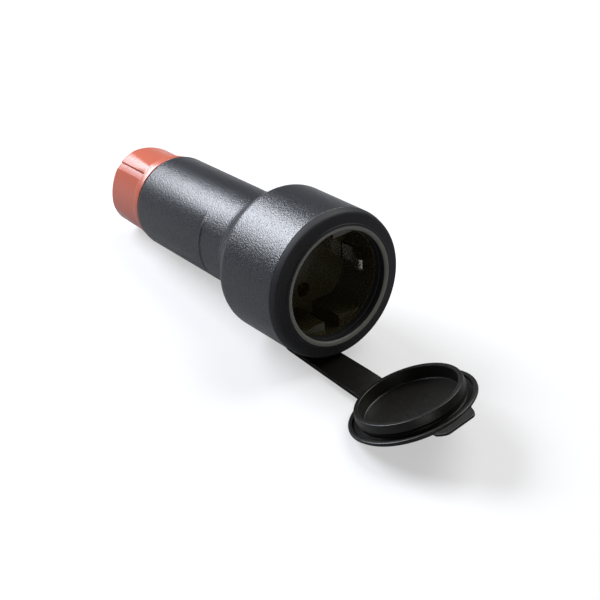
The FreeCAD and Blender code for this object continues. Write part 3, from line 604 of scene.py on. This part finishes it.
plated = node(strip_tree, "GeometryNodeSetMaterial", {}, {
    "Geometry": single.outputs["Geometry"], "Material": given["Metal"]})
node(strip_tree, "NodeGroupOutput", {}, {"Geometry": plated.outputs["Geometry"]})

# %% Bend the strip for the earth clips
STRIP_WIDTH, STRIP_THICK, STRIP_BEND = 6.0, 0.8, 1.2
CLIP_TIP, CLIP_FULL_WIDTH = 7.5, 11.5
one_clip = [(16.5, CLIP_TIP), (15.5, 9.1), (19.2, 16.1), (19.2, 26.7)]
both_clips = one_clip + [(-x, y) for x, y in reversed(one_clip)]
clip_path = bpy.data.meshes.new("clip_path")
clip_path.from_pydata([(x * MM, y * MM, 0) for x, y in both_clips],
                      [(k, k + 1) for k in range(len(both_clips) - 1)], [])
clips = grown("earth_clips", strip_tree, {
    "Width": STRIP_WIDTH * MM, "Thickness": STRIP_THICK * MM, "Bend Radius": STRIP_BEND * MM,
    "Tip": CLIP_TIP * MM, "Full Width At": CLIP_FULL_WIDTH * MM,
    "Place": tuple(seated([0, 0, 0])), "Turn": (-TILT, 0, 0), "Metal": plated_nickel}, clip_path)
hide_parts("earth_bracket")
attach(clips, "connector")

# %% [markdown]
# Inner works
#
# Behind the insert lie the contact sleeves, the terminals with their screws, the clamping claws
# and the seals. They show only through the pin holes and the cable entry, so their solids are
# kept as they are and only take their finishes.

# %% Dress the inner works
inner_works = {
    "live_contact": machined_brass, "neutral_contact": machined_brass,
    "earth_terminal": machined_brass, "contact_springs": zinc_steel, "wire_clamps": zinc_steel,
    "terminal_screws": zinc_steel, "carrier_screws": zinc_steel,
    "terminal_block": plain_polyamide, "clamp_basket": plain_polyamide,
    "thrust_washer": plain_polyamide, "gland_seal": moulded_rubber, "spigot_seal": moulded_rubber,
}
for name, material in inner_works.items():
    nodes[name].data.materials.clear()
    nodes[name].data.materials.append(material)
print("inner solids dressed:", len(inner_works))

# %% [markdown]
# Spigot thread
#
# The nut runs on a coarse thread with rounded crests, as moulded threads have, and it comes into
# view when the nut is screwed back. A thread is a section that follows a spiral, so Geometry
# Nodes make it: a spiral with the thread's pitch carries a round section along the spigot.

# %% Build the tree of a thread
SPIRAL_STEPS, CREST_STEPS = 48, 10
thread_tree, given = node_group("moulded thread", {
    "Radius": "NodeSocketFloat", "Turns": "NodeSocketFloat", "Length": "NodeSocketFloat",
    "Round": "NodeSocketFloat", "Place": "NodeSocketVector", "Turn": "NodeSocketRotation",
    "Plastic": "NodeSocketMaterial"})
spiral = node(thread_tree, "GeometryNodeCurveSpiral", {}, {
    "Resolution": SPIRAL_STEPS, "Rotations": given["Turns"], "Start Radius": given["Radius"],
    "End Radius": given["Radius"], "Height": given["Length"]})
crest = node(thread_tree, "GeometryNodeCurvePrimitiveCircle", {}, {
    "Resolution": CREST_STEPS, "Radius": given["Round"]})
wound = node(thread_tree, "GeometryNodeCurveToMesh", {}, {
    "Curve": spiral.outputs["Curve"], "Profile Curve": crest.outputs["Curve"], "Fill Caps": True})
set_down = node(thread_tree, "GeometryNodeTransform", {}, {
    "Geometry": wound.outputs["Mesh"], "Translation": given["Place"], "Rotation": given["Turn"]})
single = node(thread_tree, "GeometryNodeRealizeInstances", {}, {
    "Geometry": set_down.outputs["Geometry"]})
moulded = node(thread_tree, "GeometryNodeSetMaterial", {}, {
    "Geometry": single.outputs["Geometry"], "Material": given["Plastic"]})
node(thread_tree, "NodeGroupOutput", {}, {"Geometry": moulded.outputs["Geometry"]})

# %% Wind the thread round the spigot
PITCH, CREST, CREST_ROUND = 3.0, 13.2, 0.85
THREAD_START, THREAD_TURNS = 107.0, 3.6
thread = grown("spigot_thread", thread_tree, {
    "Radius": (CREST - CREST_ROUND) * MM, "Turns": THREAD_TURNS,
    "Length": PITCH * THREAD_TURNS * MM, "Round": CREST_ROUND * MM,
    "Place": tuple(seated([0, THREAD_START, 0])), "Turn": (-math.pi / 2 - TILT, 0, 0),
    "Plastic": eroded_polyamide}, bpy.data.meshes.new("thread_base"))
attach(thread, "connector")

# %% [markdown]
# Gland nut
#
# The nut is one moulding of dyed plastic: a plain collar, then a tapering body with four wide
# flats for a spanner, slightly crowned. They run out in a curve towards the collar, and beside
# each of them a groove is sunk in the round corner. The rule takes the smaller of the turned
# radius and the flat, with a little rounding where they meet, so the curved edges come by
# themselves.

# %% Draw the nut's outline
NUT_FRONT, NUT_END, COLLAR_END, BODY_FRONT = 105.4, 127.7, 107.8, 108.1
COLLAR_RADIUS, BODY_FRONT_RADIUS, BODY_END_RADIUS = 17.6, 17.35, 16.6
NUT_BORE, NUT_BORE_END, NUT_THREAD, NUT_THREAD_END, NUT_HOLE = 14.95, 107.5, 13.4, 121.8, 6.8
NUT_ROWS, OUTSIDE_NUT = 0.25, 14.0
nut_outline = filleted([
    (NUT_BORE, NUT_FRONT, 0.2), (COLLAR_RADIUS, NUT_FRONT, 0.6), (COLLAR_RADIUS, COLLAR_END, 0.2),
    (BODY_FRONT_RADIUS, BODY_FRONT, 0.2), (BODY_END_RADIUS, NUT_END, 1.0),
    (NUT_HOLE, NUT_END, 0.7), (NUT_HOLE, NUT_THREAD_END, 0.2), (NUT_THREAD, NUT_THREAD_END, 0),
    (NUT_THREAD, NUT_BORE_END, 0), (NUT_BORE, NUT_BORE_END, 0),
])
nut_outline = finely(nut_outline, NUT_ROWS, BODY_FRONT, NUT_END, OUTSIDE_NUT)
print("rows of the nut:", len(nut_outline))

# %% Model the gland nut
FLAT_COUNT, FLAT_DISTANCE, FLAT_CROWN = 4, 15.7, 0.6
FLAT_PERIOD = 360 / FLAT_COUNT
NUT_TURN, GROOVE_TURN = 17, 32
# In front of its start a flat is lifted clear of the collar, and it comes down over the runout.
FLAT_START, FLAT_RUNOUT, FLAT_LIFT, FLAT_EDGE = 109.0, 1.2, 3.0, 0.15
GROOVE_HALF, GROOVE_WALL, GROOVE_FLOOR = 1.4, 0.4, 15.9
GROOVE_START, GROOVE_RUNOUT, GROOVE_RADIUS = 109.2, 0.5, 17.0


def softest(one, other, soft):
    """The smaller of two values, with the change from one to the other rounded off."""
    share = np.clip(0.5 + 0.5 * (other - one) / soft, 0, 1)
    return other * (1 - share) + one * share - soft * share * (1 - share)


def nut_rule(radius, depth, turn):
    """Flats that run out before the collar, each with a groove in the corner beside it."""
    flat = FLAT_DISTANCE / np.cos(FLAT_CROWN * from_turn(turn, NUT_TURN, FLAT_PERIOD))
    flat = flat + FLAT_LIFT * (1 - eased((depth - FLAT_START) / FLAT_RUNOUT))
    cut = softest(radius, flat, FLAT_EDGE)
    across = radius * np.sin(from_turn(turn, NUT_TURN + GROOVE_TURN, FLAT_PERIOD))
    groove = within(across, -GROOVE_HALF, GROOVE_HALF, GROOVE_WALL)
    groove = groove * eased((depth - GROOVE_START) / GROOVE_RUNOUT)
    grooved = np.minimum(cut, cut + groove * (GROOVE_FLOOR - cut))
    return np.where((radius > NUT_BORE) & (depth > COLLAR_END), grooved, radius), depth


groove_side = math.degrees(math.asin(GROOVE_HALF / GROOVE_RADIUS))
nut_turns = turns(count=360, crowded=[
    NUT_TURN + GROOVE_TURN + FLAT_PERIOD * k + side
    for k in range(FLAT_COUNT) for side in (-groove_side, groove_side)])
nut = turned("gland_nut_shell", nut_outline, nut_turns, on_connector, coral_polyamide, nut_rule)
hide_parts("gland_nut")
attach(nut, "gland_nut")

# %% [markdown]
# Lid
#
# The lid is a rubber cap that lies on its back: a flange with a raised edge, a narrow channel,
# a plug rim with a bead that snaps into the mouth, and a tab to pull it by. The tab lies a step
# lower than the flange. The lid is turned like the rest about its own axis. Its outline reaches
# out to the tab's end, and the rule draws the outermost rows in to the flange beside the tab.

# %% Draw the lid's outline
FLANGE_RADIUS, FLANGE_TOP, FLANGE_EDGE = 23.08, 1.8, 0.95
RING_TOP, RING_FOOT, RING_CHANNEL = 21.5, 21.3, 0.95
RIM_FOOT, RIM_NECK, RIM_NECK_HEIGHT = 19.15, 19.0, 2.4
BEAD_RADIUS, BEAD_HEIGHT = 19.9, 3.3
RIM_OUTSIDE, RIM_INSIDE, RIM_TOP, CUP_RADIUS = 19.4, 17.7, 6.4, 17.4
TAB_END, TAB_TOP, TAB_ROWS = 26.6, 1.0, 0.8
lid_outline = filleted([
    (0, 0, 0), (FLANGE_RADIUS - FLANGE_EDGE, 0, 0), (TAB_END, 0, 0.4), (TAB_END, TAB_TOP, 0.4),
    (FLANGE_RADIUS, TAB_TOP, 0.15), (FLANGE_RADIUS, FLANGE_TOP, 0.5),
    (RING_TOP, FLANGE_TOP, 0.25), (RING_FOOT, RING_CHANNEL, 0.25), (RIM_FOOT, RING_CHANNEL, 0.3),
    (RIM_NECK, RIM_NECK_HEIGHT, 0.3), (BEAD_RADIUS, BEAD_HEIGHT, 0.3),
    (RIM_OUTSIDE, RIM_TOP, 0.35), (RIM_INSIDE, RIM_TOP, 0.35), (CUP_RADIUS, LID_FLOOR, 0.6),
    (0, LID_FLOOR, 0),
])
lid_outline = finely(lid_outline, TAB_ROWS, 0, FLANGE_TOP, FLANGE_RADIUS)
print("rows of the lid:", len(lid_outline))

# %% Model the lid
TAB_SIDE, TAB_TAPER, TAB_CORNER, TAB_ROOT = 13.36, 0.224, 6.0, 0.8
# The tab's sides are worked out up to this many radians from its middle.
TAB_SPREAD = 1.2
# The raised edge of the underside fades out over the first quarter of the tab's reach.
EDGE_FADE, HAIR = 4, 0.001


def lid_rule(radius, height, turn):
    """The rows beyond the flange drawn in to it, except where the tab is."""
    ahead = np.clip(np.abs(from_turn(turn, 180)), 0, TAB_SPREAD)
    end = TAB_END / np.cos(ahead)
    side = TAB_SIDE / (np.sin(ahead) + TAB_TAPER * np.cos(ahead))
    tab = softest(end, side, TAB_CORNER)
    reach = -softest(-tab, -FLANGE_RADIUS, TAB_ROOT)
    beyond = (reach - FLANGE_RADIUS) / (TAB_END - FLANGE_RADIUS)
    drawn = FLANGE_RADIUS + (radius - FLANGE_RADIUS) * beyond
    outer = radius > FLANGE_RADIUS + HAIR
    raised = np.maximum(height, FLANGE_EDGE * (1 - eased(beyond * EDGE_FADE)))
    return np.where(outer, drawn, radius), np.where(outer, raised, height)


def on_lid(radius, height, turn):
    """Points about the lid's axis, turns counted from the strap's side."""
    return laid(np.stack([radius * np.sin(turn), radius * np.cos(turn), height], -1))


lid = turned("lid_cap", lid_outline, turns(count=288), on_lid, moulded_rubber, lid_rule)
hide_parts("lid")
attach(lid, "lid")

# %% [markdown]
# Lid strap
#
# A flat rubber strap holds the lid. It leaves a channel under the head, drops to the table and
# runs on to the lid's flange, leaning over as the lid does. Its section is a rounded rectangle
# that follows the path, and each line of it is stopped at the flange's round edge. Its lean is
# blended from the channel's to the lid's.

# %% Lay the strap's path
STRAP_WIDTH, STRAP_THICK, STRAP_CORNER = 12.2, 2.0, 0.5
STRAP_ROOT, STRAP_BEND, STRAP_MIDDLE, STRAP_LANDING = 25.5, 24.4, 27.0, 10.0
# The height of the strap's middle where it lies flat on the table.
STRAP_LIE = 1.25
root_lean = math.radians(STRAP_TURN - 180)
table = cad_low[2] / MM
strap_level = table + STRAP_LIE
root_middle = STRAP_MIDDLE * np.array([-math.sin(root_lean), 0, -math.cos(root_lean)])
strap_root = seated(root_middle + [0, STRAP_ROOT, 0]) / MM
strap_bend = seated(root_middle + [0, STRAP_BEND, 0]) / MM
lid_edge = laid([0, FLANGE_RADIUS - STRAP_THICK, 0]) / MM
lid_lean = math.atan2(LID_UP[0], LID_UP[2])


def strap_spot(along):
    """The strap's middle and lean: 0-1 in the channel, 1-2 down to the table, 2-3 to the lid."""
    held, drop, climb = (np.clip(along - k, 0, 1) for k in range(3))
    fall = eased(drop)
    lean = root_lean * (1 - fall) + lid_lean * eased(climb)
    slope = (strap_bend[1] - STRAP_LANDING) * math.sin(TILT)
    x = strap_bend[0] + (lid_edge[0] - strap_bend[0]) * climb
    y = strap_root[1] + (strap_bend[1] - strap_root[1]) * held
    y = y + (STRAP_LANDING - strap_bend[1]) * drop + (lid_edge[1] - STRAP_LANDING) * climb
    z = strap_root[2] + (strap_bend[2] - strap_root[2]) * held
    z = z + (strap_level - strap_bend[2]) * fall + slope * drop * (1 - drop) ** 2
    z = z + STRAP_WIDTH / 2 * np.abs(np.sin(lid_lean * eased(climb)))
    return np.stack([x, y, z], -1), lean


def strap_point(along, across, rise):
    """A point of the strap in frame millimetres, given along, across and above its middle."""
    middle, lean = strap_spot(along)
    shift = np.stack([across * np.cos(lean) + rise * np.sin(lean), np.zeros_like(lean),
                      rise * np.cos(lean) - across * np.sin(lean)], -1)
    return middle + shift


print("strap bends at", np.round(strap_bend, 1), "and meets the lid at", np.round(lid_edge, 1))

# %% Model the lid strap
STRAP_STATIONS, STRAP_END, STOP_SAMPLES = 72, 22.7, 400
# How far along the strap it starts to follow the lid.
strap_section = filleted([(sx * STRAP_WIDTH / 2, sz * STRAP_THICK / 2, STRAP_CORNER)
                          for sx, sz in ((-1, -1), (1, -1), (1, 1), (-1, 1))])
to_lid = np.linspace(2, 3, STOP_SAMPLES)
lines = []
for across, rise in strap_section:
    from_lid = strap_point(to_lid, across, rise) * MM - LID_PLACE
    flat = from_lid - np.outer(from_lid @ LID_UP, LID_UP)
    inside = np.linalg.norm(flat, axis=1) < STRAP_END * MM
    last = to_lid[np.argmax(inside)] if inside.any() else to_lid[-1]
    lines.append(strap_point(np.linspace(0, last, STRAP_STATIONS), across, rise) * MM)
grid = np.array(lines).transpose(1, 0, 2)
ring = len(strap_section)
strap_faces = [list(face) for face in grid_faces(STRAP_STATIONS, ring)[:-ring]]
strap_faces.append(list(range(ring)))
strap_faces.append(list(range((STRAP_STATIONS - 1) * ring, STRAP_STATIONS * ring)))
strap = piece("lid_strap_band", grid.reshape(-1, 3), strap_faces, moulded_rubber)
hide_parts("lid_strap")
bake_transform(strap)

# %% [markdown]
# Table and light
#
# The part lies on white paper under two soft lamps. A strong one behind it, a little to the
# left, draws the bright band along the housing, and a wide one above on the right fills in. A
# pale card in front lights the mouth and the lid. The paper is white to the camera, so it
# glows a little there; to everything else it is plain and diffuse, and it keeps the object's
# shadow.

# %% Lay the paper
PAPER_HALF, PAPER_GLOW = 3.0, 0.5
floor_mesh = bpy.data.meshes.new("paper")
floor_mesh.from_pydata([(x * PAPER_HALF, y * PAPER_HALF, cad_low[2])
                        for x, y in ((-1, -1), (1, -1), (1, 1), (-1, 1))], [], [(0, 1, 2, 3)])
floor = shown("paper", floor_mesh)
paper = bpy.data.materials.new("white paper")
paper.use_nodes = True
paper.node_tree.nodes.clear()
ray = node(paper.node_tree, "ShaderNodeLightPath", {}, {}).outputs
glow = node(paper.node_tree, "ShaderNodeMath", {"operation": "MULTIPLY"}, {
    0: ray["Is Camera Ray"], 1: PAPER_GLOW})
sheet = node(paper.node_tree, "ShaderNodeBsdfPrincipled", {}, {
    "Base Color": linear("#919191"), "Roughness": 1.0, "Specular IOR Level": 0.0,
    "Emission Color": linear("#ffffff"), "Emission Strength": glow.outputs["Value"]})
node(paper.node_tree, "ShaderNodeOutputMaterial", {}, {"Surface": sheet.outputs["BSDF"]})
floor_mesh.materials.append(paper)
print("paper at mm:", round(table, 2))

# %% Hang the lamps and light the room
ROOM_LIGHT, LAMP_DISTANCE = 0.1, 0.9


def hang(name, way, width, height, watts, shade):
    """A rectangular lamp in a direction from the part, facing it."""
    lamp = bpy.data.lights.new(name, "AREA")
    lamp.shape = "RECTANGLE"
    lamp.size, lamp.size_y, lamp.energy = width, height, watts
    lamp.color = linear(shade)[:3]
    hung = shown(name, lamp)
    hung.location = Vector(way).normalized() * LAMP_DISTANCE
    hung.rotation_euler = Vector(way).to_track_quat("Z", "Y").to_euler()
    print(name, "W:", watts)


hang("left softbox", way=(-0.27, 0.76, 0.6), width=0.65, height=0.4, watts=20.0, shade="#f1f5ff")
hang("right softbox", way=(0.6, 0.1, 0.79), width=0.8, height=0.6, watts=10.0, shade="#ffffff")
hang("front card", way=(-0.3, -0.9, 0.3), width=0.5, height=0.3, watts=1.5, shade="#ffffff")

world = bpy.data.worlds.new("room")
bpy.context.scene.world = world
world.use_nodes = True
world.node_tree.nodes.clear()
room = node(world.node_tree, "ShaderNodeBackground", {}, {
    "Color": linear("#fbfaf8"), "Strength": ROOM_LIGHT})
node(world.node_tree, "ShaderNodeOutputWorld", {}, {"Surface": room.outputs["Background"]})
print("room light:", ROOM_LIGHT)

# %% [markdown]
# Camera
#
# The view is that of a long lens from the front left and above. Its place was found by
# matching the round mouth, the axis and the lid to the object's own sizes.

# %% Place the camera
LENS, SENSOR, NEAREST = 90.0, 36.0, 0.01
CAMERA_PLACE = (-0.2802, -0.3429, 0.2911)
LOOKING_DOWN, LOOKING_RIGHT = 34.02, 37.85
lens = bpy.data.cameras.new("camera")
lens.lens, lens.sensor_width, lens.clip_start = LENS, SENSOR, NEAREST
camera = shown("camera", lens)
camera.location = CAMERA_PLACE
camera.rotation_euler = (math.radians(90 - LOOKING_DOWN), 0, math.radians(-LOOKING_RIGHT))
bpy.context.scene.camera = camera
bpy.context.scene.view_settings.view_transform = "Standard"
print("camera at", tuple(round(v, 3) for v in camera.location), "lens", lens.lens)
